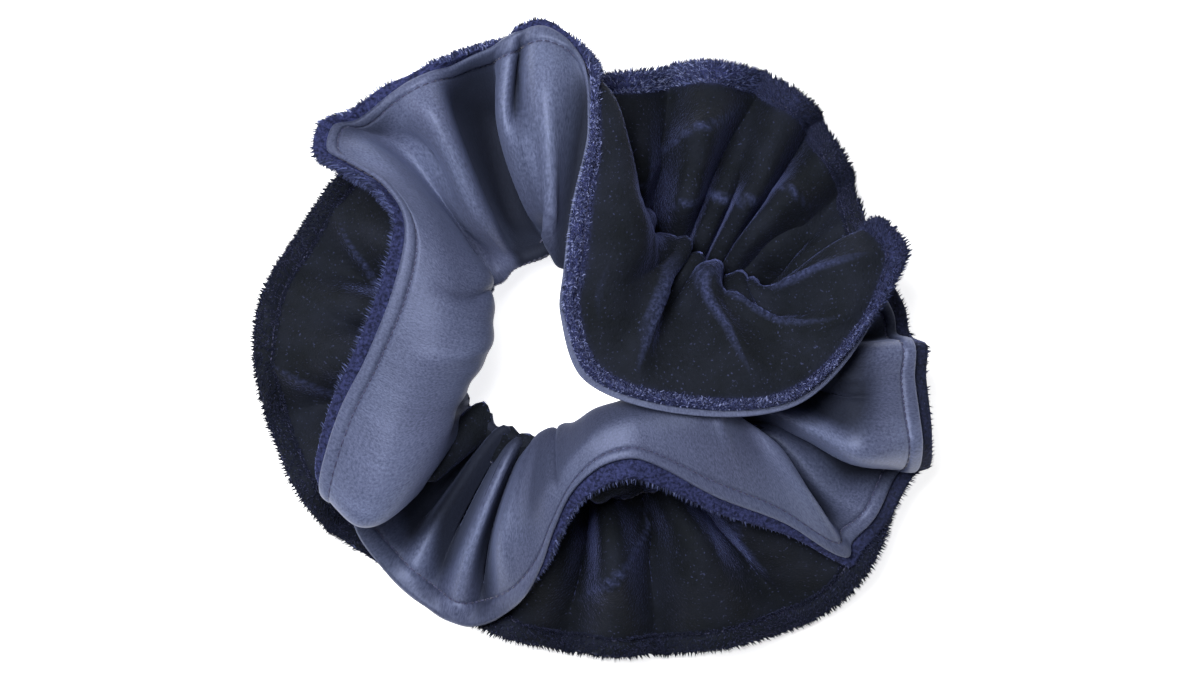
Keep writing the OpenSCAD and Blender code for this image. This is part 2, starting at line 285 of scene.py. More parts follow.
def around(table, s, column=1, turn=0.0):
    """Smooth closed curve through a column of a table, read at each place s.

    Its values gain turn in each round of the strip.
    """
    x = np.array([row[0] for row in table], float)
    y = np.array([row[column] for row in table], float).reshape(len(x), -1)
    x = np.concatenate([x[-2:] - STRIP_LENGTH, x, x[:3] + STRIP_LENGTH])
    y = np.concatenate([y[-2:] - turn, y, y[:3] + turn])
    slope = np.zeros_like(y)
    slope[1:-1] = (y[2:] - y[:-2]) / (x[2:] - x[:-2])[:, None]
    i = np.searchsorted(x, s, side="right") - 1
    step = (x[i + 1] - x[i])[:, None]
    t = (s - x[i])[:, None] / step
    return hermite(y[i], y[i + 1], slope[i] * step, slope[i + 1] * step, t)


def across(distances, curves, v):
    """Smooth open curve across the strip, through one point of each curve, at each v."""
    x = np.array(distances, float)
    y = np.stack(curves, 1)
    slope = np.zeros_like(y)
    for k in range(len(x)):
        before, after = max(k - 1, 0), min(k + 1, len(x) - 1)
        slope[:, k] = (y[:, after] - y[:, before]) / (x[after] - x[before])
    k = np.clip(np.searchsorted(x, v, side="right") - 1, 0, len(x) - 2)
    step = (x[k + 1] - x[k])[None, :, None]
    t = (v - x[k])[None, :, None] / step
    return hermite(y[:, k], y[:, k + 1], slope[:, k] * step, slope[:, k + 1] * step, t)


def smooth_surface(s, v):
    """The middle surface before its gathers, stations by rows."""
    upper = [around(UPPER, s, column) for column in (1, 2, 3)]
    lower = around(LOWER, s)
    lower[:, :2] -= unit(lower[:, :2]) * PILE_REACH
    angle = np.radians(around(GATHERED_TO, s, turn=-360.0)[:, 0])
    middle = np.stack([
        CASING_CENTRE[0] + CASING_RADII[0] * np.cos(angle),
        CASING_CENTRE[1] + CASING_RADII[1] * np.sin(angle),
        np.full(len(s), CASING_Z),
    ], 1)
    half = np.array([0, 0, CASING / 2])
    halfway = (middle - half + lower) / 2 + [0, 0, LOWER_WING_RISE]
    surface = np.zeros((len(s), len(v), 3))
    top = v < WING
    bottom = v > WING + CASING
    inner = ~top & ~bottom
    surface[:, top] = across([0, WING / 3, 2 * WING / 3, WING], [*upper, middle + half], v[top])
    surface[:, bottom] = across([WING + CASING, 1.5 * WING + CASING, STRIP_WIDTH],
                                [middle - half, halfway, lower], v[bottom])
    t = ((v[inner] - WING) / CASING)[None, :, None]
    surface[:, inner] = (middle + half)[:, None] * (1 - t) + (middle - half)[:, None] * t
    return surface


def satin_side(surface):
    """Unit normals of the surface, on its satin side."""
    along = np.roll(surface, -1, 0) - np.roll(surface, 1, 0)
    over = np.gradient(surface, axis=1)
    return unit(np.cross(over, along))


def blur_along(surface, times):
    for _ in range(times):
        surface = (np.roll(surface, 1, 0) + 2 * surface + np.roll(surface, -1, 0)) / 4
    return surface


def gather_heights(s, v, rng):
    """How far the gathers stand off the smooth surface. On the upper wing most only sink in.

    Their sizes depend on x, which is 0 at the casing and 1 at the sewn edge.
    """
    wander = np.zeros(len(s))
    for waves, size in WANDER:
        wander += size * np.sin(2 * math.pi * waves * s / STRIP_LENGTH + rng.uniform(0, 6.28))
    place = 2 * math.pi * (s + wander) / STRIP_LENGTH
    from_casing = np.maximum(np.abs(v - WING - CASING / 2) - CASING / 2, 0) / WING
    x = from_casing[None, :]
    lower = (v > WING + CASING)[None, :]
    even = np.where(lower, 1.0, around(EVENNESS, s))
    fine = np.cos(FINE_GATHERS * place + 1.0)[:, None]
    on_wing = smooth_step(x / 0.06)
    fine = on_wing * even * (fine - ~lower) + (1 - on_wing) * 0.25 * fine
    fine = FINE_HEIGHT * np.exp(-(x / 0.26) ** 2) * fine
    middling = np.cos(MIDDLING_GATHERS * place)[:, None]
    on_lower = smooth_step(x / 0.15) * np.exp(-((x - 0.28) / 0.34) ** 2)
    on_upper = smooth_step(x / 0.08) * (1 - smooth_step((x - 0.08) / 0.24))
    middling = np.where(lower, MIDDLING_LOWER * middling * on_lower,
                        MIDDLING_UPPER * (middling - 1) * on_upper)
    on_upper = smooth_step(x / 0.4) * (1 - smooth_step((x - 0.5) / 0.5))
    broad = BROAD_HEIGHT * np.cos(BROAD_GATHERS * place + 0.8)[:, None]
    return fine + even * (middling + broad * np.where(lower, 0, on_upper))


def ruffle_lift(s, v):
    """How far the lower wing's ruffles lift off the table."""
    x = np.maximum(v - WING - CASING, 0) / WING
    turn = 2 * math.pi * s / STRIP_LENGTH
    wander = 1.5 * np.sin(3 * turn) + 0.9 * np.sin(5 * turn + 1)
    waves = 0.5 + 0.5 * np.cos(RUFFLES * turn + wander)
    return RUFFLE_LIFT * waves[:, None] * smooth_step(x / 0.65)[None, :]


def lowest_above(points):
    """Height of the lowest of the points above each cell of a grid on the table."""
    cells = np.clip((points[..., :2] / ROOF_CELL + ROOF_CELLS / 2).astype(int), 1, ROOF_CELLS - 2)
    roof = np.full((ROOF_CELLS, ROOF_CELLS), NO_ROOF)
    for dx in (-1, 0, 1):
        for dy in (-1, 0, 1):
            np.minimum.at(roof, (cells[..., 0] + dx, cells[..., 1] + dy), points[..., 2])
    return roof


def press_lower_wing(surface, v):
    """Presses the lower wing down, smoothly, wherever it would touch the upper one."""
    roof = lowest_above(surface[:, v < WING - PRESS_MARGIN])
    lower = v > WING + CASING + PRESS_MARGIN
    points = surface[:, lower]
    cells = np.clip((points[..., :2] / ROOF_CELL + ROOF_CELLS / 2).astype(int), 0, ROOF_CELLS - 1)
    drop = np.maximum(points[..., 2] - roof[cells[..., 0], cells[..., 1]] + WING_CLEARANCE, 0)
    for _ in range(PRESS_SPREAD):
        drop = np.maximum(drop, np.maximum(np.roll(drop, 1, 0), np.roll(drop, -1, 0)))
        drop[:, 1:-1] = np.maximum(drop[:, 1:-1], np.maximum(drop[:, :-2], drop[:, 2:]))
    drop = blur_along(drop, 2 * PRESS_SPREAD)
    for _ in range(PRESS_SPREAD):
        drop[:, 1:-1] = (drop[:, :-2] + 2 * drop[:, 1:-1] + drop[:, 2:]) / 4
    surface[:, lower, 2] -= drop
    return surface


def near_route(s, v, route):
    """How far each point is from a route over the strip, and how strong a fold is there.

    It is strongest halfway along the route, and a third as strong at its ends.
    """
    route = np.array(route, float)
    nearest = np.full((len(s), len(v)), 1e9)
    strength = np.zeros(nearest.shape)
    lengths = np.linalg.norm(np.diff(route, axis=0), axis=1)
    run = np.concatenate([[0], np.cumsum(lengths)]) / lengths.sum()
    for k in range(len(route) - 1):
        step = route[k + 1] - route[k]
        ds = (s - route[k, 0] + STRIP_LENGTH / 2) % STRIP_LENGTH - STRIP_LENGTH / 2
        dv = v - route[k, 1]
        t = np.clip((ds[:, None] * step[0] + dv[None, :] * step[1]) / (step @ step), 0, 1)
        gap = np.hypot(ds[:, None] - t * step[0], dv[None, :] - t * step[1])
        closer = gap < nearest
        nearest = np.where(closer, gap, nearest)
        along = run[k] + (run[k + 1] - run[k]) * t
        strength = np.where(closer, np.sin(math.pi * (0.1 + 0.8 * along)), strength)
    return nearest, strength


def marks(s, v, table):
    """Soft marks along routes. Each row of the table is how much, half width and route."""
    total = np.zeros((len(s), len(v)))
    for size, width, route in table:
        gap, strength = near_route(s, v, route)
        total = np.maximum(total, size * strength * np.exp(-(gap / width) ** 2))
    return total


def fold_heights(s, v):
    """How far the single folds stand off the surface, and a painted highlight on the crests of those
    in velvet.
    """
    heights = np.zeros((len(s), len(v)))
    for height, width, route in FOLDS:
        gap, strength = near_route(s, v, route)
        heights += height * strength * np.exp(-(gap / width) ** 1.3)
    crest_highlights = marks(s, v, [(1.0, CREST_WIDTH, route) for height, _, route in FOLDS
                          if height < 0 and route[0][0] < VELVET_SIDE_UP])
    return heights, crest_highlights


def ruffled_surface():
    """Places along, distances across, points of the gathered surface, and the painted highlight on
    its velvet crests.
    """
    s = np.arange(STATIONS) * STRIP_LENGTH / STATIONS
    v = rows_across()
    rng = np.random.default_rng(7)
    surface = smooth_surface(s, v)
    folds, crest_highlights = fold_heights(s, v)
    heights = gather_heights(s, v, rng) + folds
    surface = surface + satin_side(blur_along(surface, 6)) * heights[..., None]
    surface[..., 2] += ruffle_lift(s, v) - marks(s, v, SLITS)
    surface = press_lower_wing(surface, v)
    surface[..., 2] = np.maximum(surface[..., 2], TABLE_CLEARANCE)
    return s, v, surface, crest_highlights


# ==== cloth, pile, threads and elastic as meshes ====

# Each layer: the gap inside it, its thickness, the puff of its hem and the rounding of its edge
SATIN_INNER = 0.25
SATIN_THICKNESS = 0.45
SATIN_PUFF = 0.35
SATIN_ROUNDING = 0.45
VELVET_INNER = 0.25
VELVET_THICKNESS = 1.2
VELVET_PUFF = 1.0
VELVET_ROUNDING = 1.3
LAYER_CORE = 0.05
CASING_ROOM = 0.6

# The groove that the stitching lies in
GROOVE = 0.45
GROOVE_WIDTH = 0.4

# How a hem rolls out past the sewn edge: over how wide a strip, and how far. The upper satin
# rolls out by the first number, and by the second where RIM_ROLL is 1
ROLL_WIDTH = 3.0
SATIN_ROLL = (0.3, 0.8)
LOWER_SATIN_REACH = 0.3
LOWER_VELVET_REACH = 1.5

# Pile along the hems: how wide, its lowest point, and the sides of each tuft
PILE_BAND = 4.4
LOWEST_PILE = 0.06
TUFT_SIDES = 3
TUFT_ROOT = 0.3

# Tufts on each hem: how many, how far in, length, pull outwards, spread and thickness
TUFT_KINDS = (
    (22600, (0.1, PILE_BAND), 0.85, 0.4, 0.4, (0.15, 0.27)),
    (1800, (0.0, 0.35), 1.35, 2.0, 0.22, (0.20, 0.32)),
)

# The satin's painted shade in its hollows and painted light on its crests: how deep a full hollow
# is, how far along the cloth it is compared with, the share of the near comparison, and how much of
# it each wing shows
HOLLOW_DEPTH = 6.0
HOLLOW_FAR = 9
HOLLOW_NEAR = 4
NEAR_SHARE = 0.6
UPPER_WING_SHADE = 1.0
LOWER_WING_SHADE = -0.5

# How far across the strip the listed painted shade starts, and over how much it grows to its full
SHADE_STARTS = 5
SHADE_RISES = 12

# Stitches: the length of a stitch and its gap, the thread's share of it, radius and dip. Then
# where they lie: above the satin's and the velvet's groove, in from the casing, in from the edge
TOPSTITCH = {"pitch": 1.6, "thread_share": 0.8, "radius": 0.19, "dip": 0.22}
CASING_STITCH = {"pitch": 2.8, "thread_share": 0.8, "radius": 0.18, "dip": 0.3}
SEAM_STITCH = {"pitch": 2.2, "thread_share": 0.85, "radius": 0.15, "dip": 0.05}
TOPSTITCH_LIFT = (0.14, 0.1)
CASING_STITCH_IN = 0.45
SEAM_IN = 1.0
END_SEAM = 205
END_SEAM_STITCHES = 18
END_SEAM_GAP = 2
THREAD_SIDES = 6

# Along one stitch: how far along, how much of its dip, and its thickness
THREAD_STEPS = (
    (0.0, 1.0, 0.55), (0.15, 0.35, 0.95), (0.5, 0.0, 1.0), (0.85, 0.35, 0.95), (1.0, 1.0, 0.55),
)

# The flat elastic, which lies along the casing
ELASTIC_WIDTH = 5.6
ELASTIC_THICKNESS = 0.9
ELASTIC_RIBS = 6
ELASTIC_STEPS = 360

S, V, SURFACE, CREST_HIGHLIGHTS = ruffled_surface()
SIDE = satin_side(blur_along(SURFACE, 3))
FROM_EDGE = np.minimum(V, STRIP_WIDTH - V)
HEM_ROW = int(np.searchsorted(V, HEM))
OUT_UPPER = unit(SURFACE[:, :1] - SURFACE[:, HEM_ROW:HEM_ROW + 1])
OUT_LOWER = unit(SURFACE[:, -1:] - SURFACE[:, -HEM_ROW - 1:-HEM_ROW])
ROLL = around(RIM_ROLL, S)[:, 0]
REACH = around(HEM_REACH, S)[:, 0]
LOWER_HEM_LIGHT = around(LOWER_HEM_PAINTED_LIGHT, S)[:, 0]
UPPER_HEM_LIGHT = around(UPPER_HEM_PAINTED_LIGHT, S)[:, 0]


def sunk_in(reach):
    """How far each point lies below the cloth along from it."""
    return blur_along(SURFACE[..., 2:], 2 * reach ** 2)[..., 0] - SURFACE[..., 2]


def cloth_marks():
    """What the cloth's materials read at each point: the hem band's painted sheen and painted light,
    painted highlights on the velvet, and painted shade and light on the satin.
    """
    upper = V < STRIP_WIDTH / 2
    # The hem band: its lighter pile is a painted sheen, painted darker along the strip where the hem
    # lies in shade
    hem = np.exp(-(FROM_EDGE / PILE_BAND) ** 6)[None, :] * np.where(
        upper, UPPER_HEM_LIGHT[:, None], LOWER_HEM_LIGHT[:, None])
    # Painted highlights on the velvet: its fold crests and the listed lit pile
    painted_pile_highlight = np.maximum(CREST_HIGHLIGHTS, marks(S, V, PILE_HIGHLIGHT_MARKS))
    # Painted shade in the satin's hollows and in listed places, and painted light on its crests, as
    # a value round 0.5
    inward = smooth_step((V - SHADE_STARTS) / SHADE_RISES) * upper
    depth = sunk_in(HOLLOW_FAR) + NEAR_SHARE * sunk_in(HOLLOW_NEAR)
    depth = depth * np.where(upper, UPPER_WING_SHADE, LOWER_WING_SHADE)
    shade = around(PAINTED_SHADE_BY_PLACE, S) * inward + marks(S, V, PAINTED_SHADE_MARKS)
    painted_shade_and_light = np.clip(0.5 + depth / (2 * HOLLOW_DEPTH) + shade, 0, 1)
    return {"hem": hem, "painted_pile_highlight": painted_pile_highlight, "painted_shade_and_light": painted_shade_and_light}


def hem_profile(puff):
    """Extra height of a layer's outer face: a round hem, then the groove of its stitching."""
    roll = puff * np.sqrt(np.clip(1 - ((FROM_EDGE - HEM / 2) / (HEM / 2)) ** 2, 0, 1))
    return roll - GROOVE * np.exp(-((FROM_EDGE - HEM) / GROOVE_WIDTH) ** 2)


def casing_profile():
    """Extra gap on each side of the middle, where the elastic runs."""
    inside = CASING / 2 - np.abs(V - WING - CASING / 2)
    return CASING_ROOM * smooth_step((inside + 1.0) / 1.5)


def edge_rounding(radius):
    """Rounds a layer's outer face down to its inner face at the sewn edge."""
    rounded = np.sqrt(np.clip(1 - ((radius - FROM_EDGE) / radius) ** 2, 0.0, 1))
    return np.where(FROM_EDGE < radius, rounded, 1.0)


def edge_overhang(upper_reach, lower_reach):
    """How a layer's hem rolls out past the sewn edges, as a move of each point."""
    near_upper = np.cos(np.clip(V / ROLL_WIDTH, 0, 1) * math.pi / 2)
    near_lower = np.cos(np.clip((STRIP_WIDTH - V) / ROLL_WIDTH, 0, 1) * math.pi / 2)
    upper = upper_reach[:, None] * near_upper[None, :]
    lower = lower_reach[:, None] * near_lower[None, :]
    return upper[..., None] * OUT_UPPER + lower[..., None] * OUT_LOWER


def layer_faces(side, inner, thickness, puff, radius, overhang):
    """The inner and outer faces of a layer on one side of the middle surface."""
    near = inner + casing_profile()
    far = near + LAYER_CORE + (thickness - LAYER_CORE + hem_profile(puff)) * edge_rounding(radius)
    return (SURFACE + side * SIDE * near[None, :, None] + 0.8 * overhang,
            SURFACE + side * SIDE * far[None, :, None] + overhang)


def new_mesh(name, points, faces, smooth=True):
    """A piece from points in millimetres and a list of faces."""
    mesh = bpy.data.meshes.new(name)
    mesh.from_pydata((points * MM).tolist(), [], faces)
    mesh.polygons.foreach_set("use_smooth", [smooth] * len(mesh.polygons))
    mesh.update()
    piece = bpy.data.objects.new(name, mesh)
    bpy.context.scene.collection.objects.link(piece)
    return piece


def add_values(piece, name, values):
    piece.data.attributes.new(name, "FLOAT", "POINT").data.foreach_set("value", values)


def tube_faces(rings, around_ring, closed):
    """Quads between rings of points, joined end to end when closed."""
    i = np.arange(rings if closed else rings - 1)[:, None]
    j = np.arange(around_ring)[None, :]
    a = i * around_ring + j
    b = i * around_ring + (j + 1) % around_ring
    c = ((i + 1) % rings) * around_ring + (j + 1) % around_ring
    d = ((i + 1) % rings) * around_ring + j
    return np.stack([a, b, c, d], -1).reshape(-1, 4)


def circle(a, b, sides):
    """Unit circles of points, one in the plane of each pair of vectors a and b."""
    turns = np.arange(sides) * 2 * math.pi / sides
    return a[..., None, :] * np.cos(turns)[:, None] + b[..., None, :] * np.sin(turns)[:, None]


def cloth_piece(name, side, faces, point_marks):
    """A closed sheet between two faces, with s and v as its texture coordinates, in metres."""
    inner, outer = faces
    ring = np.concatenate([outer, inner[:, ::-1]], 1)
    count = ring.shape[1]
    quads = tube_faces(STATIONS, count, True)
    if side < 0:
        quads = quads[:, ::-1]
    piece = new_mesh(name, ring.reshape(-1, 3), quads.tolist())
    row_v = np.concatenate([V, V[::-1]])
    corners = quads.reshape(-1)
    u = S[corners // count]
    joins_ends = (quads // count == STATIONS - 1).any(1)
    wraps = joins_ends[:, None] & (quads // count == 0)
    u[wraps.reshape(-1)] += STRIP_LENGTH
    layer = piece.data.uv_layers.new(name="strip")
    uv = np.stack([u * MM, row_v[corners % count] * MM], 1)
    layer.data.foreach_set("uv", uv.reshape(-1))
    for label, values in point_marks.items():
        add_values(piece, label, np.concatenate([values, values[:, ::-1]], 1).reshape(-1))
    return piece


def at(grid, s, v):
    """Reads a grid of points over the strip at places s and distances v."""
    x = (np.asarray(s) % STRIP_LENGTH) * STATIONS / STRIP_LENGTH
    i = np.floor(x).astype(int) % STATIONS
    fs = (x - np.floor(x))[..., None]
    j = np.clip(np.searchsorted(V, v, side="right") - 1, 0, len(V) - 2)
    fv = ((v - V[j]) / (V[j + 1] - V[j]))[..., None]
    near = grid[i, j] * (1 - fv) + grid[i, j + 1] * fv
    far = grid[(i + 1) % STATIONS, j] * (1 - fv) + grid[(i + 1) % STATIONS, j + 1] * fv
    return near * (1 - fs) + far * fs


def tufts(name, bases, directions, lengths, widths, tones_and_light):
    """Tapering tufts of pile, each a closed cone, as one mesh."""
    helper = np.where(np.abs(directions[:, 2:]) < 0.8, [[0.0, 0, 1]], [[1.0, 0, 0]])
    a = unit(np.cross(directions, helper))
    b = np.cross(directions, a)
    ring = circle(a, b, TUFT_SIDES) * widths[:, None, None]
    root = bases[:, None] - directions[:, None] * TUFT_ROOT + ring
    tip = (bases + directions * lengths[:, None])[:, None]
    points = np.concatenate([root, tip], 1)
    points[..., 2] = np.maximum(points[..., 2], LOWEST_PILE)
    corners = [[k, (k + 1) % TUFT_SIDES, TUFT_SIDES] for k in range(TUFT_SIDES)]
    corners.append(list(range(TUFT_SIDES))[::-1])
    starts = np.arange(len(bases))[:, None, None] * (TUFT_SIDES + 1)
    faces = (starts + np.array(corners)).reshape(-1, 3).tolist()
    piece = new_mesh(name, points.reshape(-1, 3), faces, smooth=False)
    add_values(piece, "tone", np.repeat(tones_and_light, TUFT_SIDES + 1))
    return piece


def tufts_of_kind(velvet_outer, upper, kind, rng):
    """Where one kind of tuft stands on one hem, which way, how long, how thick, and its tone."""
    count, reach, length, edge_pull, spread, width = kind
    s = (np.arange(count) + rng.uniform(0, 1, count)) * STRIP_LENGTH / count
    from_edge = rng.uniform(reach[0], reach[1], count)
    v = from_edge if upper else STRIP_WIDTH - from_edge
    pull = edge_pull * np.exp(-(from_edge / 1.5) ** 2)
    out = at(np.repeat(OUT_UPPER if upper else OUT_LOWER, len(V), 1), s, v)
    direction = unit(out * pull[:, None] - at(SIDE, s, v) + rng.normal(0, spread, (count, 3)))
    rolled = np.interp(s, S, ROLL) * np.exp(-from_edge ** 2) if upper else np.zeros(count)
    # Each tuft's tone: a random tone times the painted light and shade along the hem
    light = np.interp(s, S, UPPER_HEM_LIGHT if upper else LOWER_HEM_LIGHT)
    lengths = length * rng.uniform(0.75, 1.2, count) * (1 - 0.7 * rolled)
    widths = rng.uniform(*width, count)
    tones_and_light = light * rng.uniform(0, 1, count)
    return at(velvet_outer, s, v), direction, lengths, widths, tones_and_light


def hem_pile(velvet_outer):
    """Tufts all over the velvet hems, and a comb of longer ones along the sewn edges."""
    rng = np.random.default_rng(21)
    parts = [tufts_of_kind(velvet_outer, upper, kind, rng)
             for upper in (True, False) for kind in TUFT_KINDS]
    return tufts("velvet_pile", *[np.concatenate(column) for column in zip(*parts)])


def thread_rings(s_from, s_to, v_from, v_to, face, lift, radius, dip):
    """Points round each stitch of a row, at each step along it."""
    centres = []
    for t, deep, _ in THREAD_STEPS:
        s = s_from + (s_to - s_from) * t
        v = v_from + (v_to - v_from) * t
        normal = unit(at(SIDE, s, v)) * face
        centres.append(at(SURFACE, s, v) + normal * (lift - dip * deep))
    centres = np.stack(centres, 1)
    along = unit(np.gradient(centres, axis=1))
    normal = unit(at(SIDE, (s_from + s_to) / 2, (v_from + v_to) / 2))[:, None]
    a = unit(np.cross(along, normal))
    b = np.cross(a, along)
    sizes = radius * np.array([size for _, _, size in THREAD_STEPS])
    return circle(a, b, THREAD_SIDES) * sizes[None, :, None, None] + centres[:, :, None]


def stitches(name, rows):
    """Lockstitches, each a short closed thread that dips at its ends."""
    size = len(THREAD_STEPS) * THREAD_SIDES
    one = tube_faces(len(THREAD_STEPS), THREAD_SIDES, False).tolist()
    one.append(list(range(THREAD_SIDES))[::-1])
    one.append(list(range(size - THREAD_SIDES, size)))
    points = np.concatenate([thread_rings(*row).reshape(-1, 3) for row in rows])
    faces = [[i + start for i in face] for start in range(0, len(points), size) for face in one]
    return new_mesh(name, points, faces)


def row_of_stitches(v, face, lift, pitch, thread_share, radius, dip):
    """One row along the strip."""
    count = round(STRIP_LENGTH / pitch)
    start = np.arange(count) * STRIP_LENGTH / count
    end = start + thread_share * STRIP_LENGTH / count
    level = np.full(count, float(v))
    return start, end, level, level, face, lift, radius, dip


def end_seam(v_from, v_to):
    """One row across the strip, between the layers, where its two ends are joined."""
    edges = np.linspace(v_from, v_to, END_SEAM_STITCHES + 1)
    place = np.full(END_SEAM_STITCHES, float(END_SEAM))
    end = edges[:-1] + SEAM_STITCH["thread_share"] * np.diff(edges)
    return place, place, edges[:-1], end, 1, 0.0, SEAM_STITCH["radius"], SEAM_STITCH["dip"]


def elastic_ring():
    """A flat woven elastic, with ribs along it, gathered round inside the casing."""
    half = ELASTIC_WIDTH / 2
    heights = np.linspace(-half, half, 4 * ELASTIC_RIBS + 1)
    ribs = np.abs(np.sin(math.pi * ELASTIC_RIBS * (heights + half) / ELASTIC_WIDTH))
    bulge = ELASTIC_THICKNESS / 2 * (0.8 + 0.2 * ribs)
    front = np.stack([bulge, heights], 1)
    back = np.stack([-bulge, heights], 1)[::-1]
    outline = np.concatenate([front, back])
    angle = np.arange(ELASTIC_STEPS) * 2 * math.pi / ELASTIC_STEPS
    direction = np.stack([np.cos(angle), np.sin(angle)], 1)
    radii = np.array(CASING_RADII)[None, None, :] + outline[None, :, :1]
    flat = np.array(CASING_CENTRE) + direction[:, None] * radii
    height = np.broadcast_to(CASING_Z + outline[None, :, 1:], flat.shape[:2] + (1,))
    ring = np.concatenate([flat, height], 2)
    faces = tube_faces(ELASTIC_STEPS, len(outline), True).tolist()
    return new_mesh("elastic_band", ring.reshape(-1, 3), faces)


# ==== materials ====

def material(name, colour, roughness):
    """A new material and what its functions need: its nodes, links and shader."""
    made = bpy.data.materials.new(name)
    made.use_nodes = True
    made.diffuse_color = (*colour, 1)
    shader = made.node_tree.nodes["Principled BSDF"]
    shader.inputs["Base Color"].default_value = (*colour, 1)
    shader.inputs["Roughness"].default_value = roughness
    return made, made.node_tree.nodes, made.node_tree.links, shader


def set_sheen(shader, specular, weight, roughness, tint):
    shader.inputs["Specular IOR Level"].default_value = specular
    shader.inputs["Sheen Weight"].default_value = weight
    shader.inputs["Sheen Roughness"].default_value = roughness
    shader.inputs["Sheen Tint"].default_value = (*tint, 1)


def coordinates(nodes, kind):
    return nodes.new("ShaderNodeTexCoord").outputs[kind]


def noise(nodes, links, vector, scale, detail=2.0, roughness=0.5):
    node = nodes.new("ShaderNodeTexNoise")
    node.inputs["Scale"].default_value = scale
    node.inputs["Detail"].default_value = detail
    node.inputs["Roughness"].default_value = roughness
    links.new(vector, node.inputs["Vector"])
    return node.outputs["Fac"]


def thread_noise(nodes, links, scale, detail, roughness):
    """Noise along and across the strip, at different scales each way."""
    node = nodes.new("ShaderNodeMapping")
    node.inputs["Scale"].default_value = (*scale, 1)
    links.new(coordinates(nodes, "UV"), node.inputs["Vector"])
    return noise(nodes, links, node.outputs["Vector"], 1.0, detail, roughness)


def ramp(nodes, links, factor, stops):
    node = nodes.new("ShaderNodeValToRGB")
    while len(node.color_ramp.elements) < len(stops):
        node.color_ramp.elements.new(0.5)
    for element, (place, colour) in zip(node.color_ramp.elements, stops):
        element.position = place
        element.color = (*colour, 1)
    links.new(factor, node.inputs["Fac"])
    return node.outputs["Color"]


def mix(nodes, links, factor, first, second, kind="MIX"):
    node = nodes.new("ShaderNodeMixRGB")
    node.blend_type = kind
    for socket, value in zip(node.inputs, (factor, first, second)):
        if isinstance(value, bpy.types.NodeSocket):
            links.new(value, socket)
        else:
            socket.default_value = value if not isinstance(value, tuple) else (*value, 1)
    return node.outputs["Color"]


def bump(nodes, links, height, strength, distance, normal=None):
    node = nodes.new("ShaderNodeBump")
    node.inputs["Strength"].default_value = strength
    node.inputs["Distance"].default_value = distance
    links.new(height, node.inputs["Height"])
    if normal is not None:
        links.new(normal, node.inputs["Normal"])
    return node.outputs["Normal"]


def attribute(nodes, name):
    node = nodes.new("ShaderNodeAttribute")
    node.attribute_name = name
    return node.outputs["Fac"]


def satin_colour(nodes, links, grain):
    """Slate, clouded and woven, before its painted shade."""
    slub = thread_noise(nodes, links, (900, 60), 2, 0.6)
    cloud = noise(nodes, links, coordinates(nodes, "Object"), 38.0, 3)
    clouds = [(0.32, (0.050, 0.054, 0.108)), (0.68, (0.086, 0.108, 0.190))]
    weave = [(0.32, (0.020, 0.026, 0.056)), (0.68, (0.155, 0.18, 0.30))]
    slubs = [(0.3, (0.028, 0.035, 0.070)), (0.7, (0.125, 0.145, 0.25))]
    tone = ramp(nodes, links, cloud, clouds)
    tone = mix(nodes, links, 0.55, tone, ramp(nodes, links, grain, weave))
    return mix(nodes, links, 0.15, tone, ramp(nodes, links, slub, slubs))


def satin_material():
    """Slate satin: a soft sheen, woven grain, small creases, painted shade and matt in its hollows,
    and painted light on some crests.
    """
    made, nodes, links, shader = material("slate_satin", (0.060, 0.070, 0.145), 0.5)
    grain = thread_noise(nodes, links, (2600, 1300), 2, 0.7)
    crease = thread_noise(nodes, links, (150, 70), 4, 0.6)
    # Painted shade and light: the satin's colour is darkened in its hollows and listed places, and
    # left lighter on its crests
    painted_shade_and_light = attribute(nodes, "painted_shade_and_light")
    shade = ramp(nodes, links, painted_shade_and_light, [
        (0.2, (1, 1, 1)), (0.5, (0.72, 0.72, 0.74)),
        (0.75, (0.30, 0.31, 0.34)), (1.0, (0.06, 0.065, 0.075))])
    tone = mix(nodes, links, 1.0, satin_colour(nodes, links, grain), shade, "MULTIPLY")
    links.new(tone, shader.inputs["Base Color"])
    gloss = ramp(nodes, links, grain, [(0.3, (0.44,) * 3), (0.7, (0.58,) * 3)])
    matt = ramp(nodes, links, painted_shade_and_light, [(0.55, (0, 0, 0)), (0.85, (1, 1, 1))])
    links.new(mix(nodes, links, matt, gloss, (0.8, 0.8, 0.8)), shader.inputs["Roughness"])
    set_sheen(shader, 0.5, 0.1, 0.5, (0.45, 0.55, 1.0))
    shader.inputs["Specular Tint"].default_value = (0.62, 0.70, 1.0, 1)
    normal = bump(nodes, links, crease, 0.18, 0.0012)
    normal = bump(nodes, links, grain, 0.55, 0.00014, normal)
    links.new(normal, shader.inputs["Normal"])
    return made


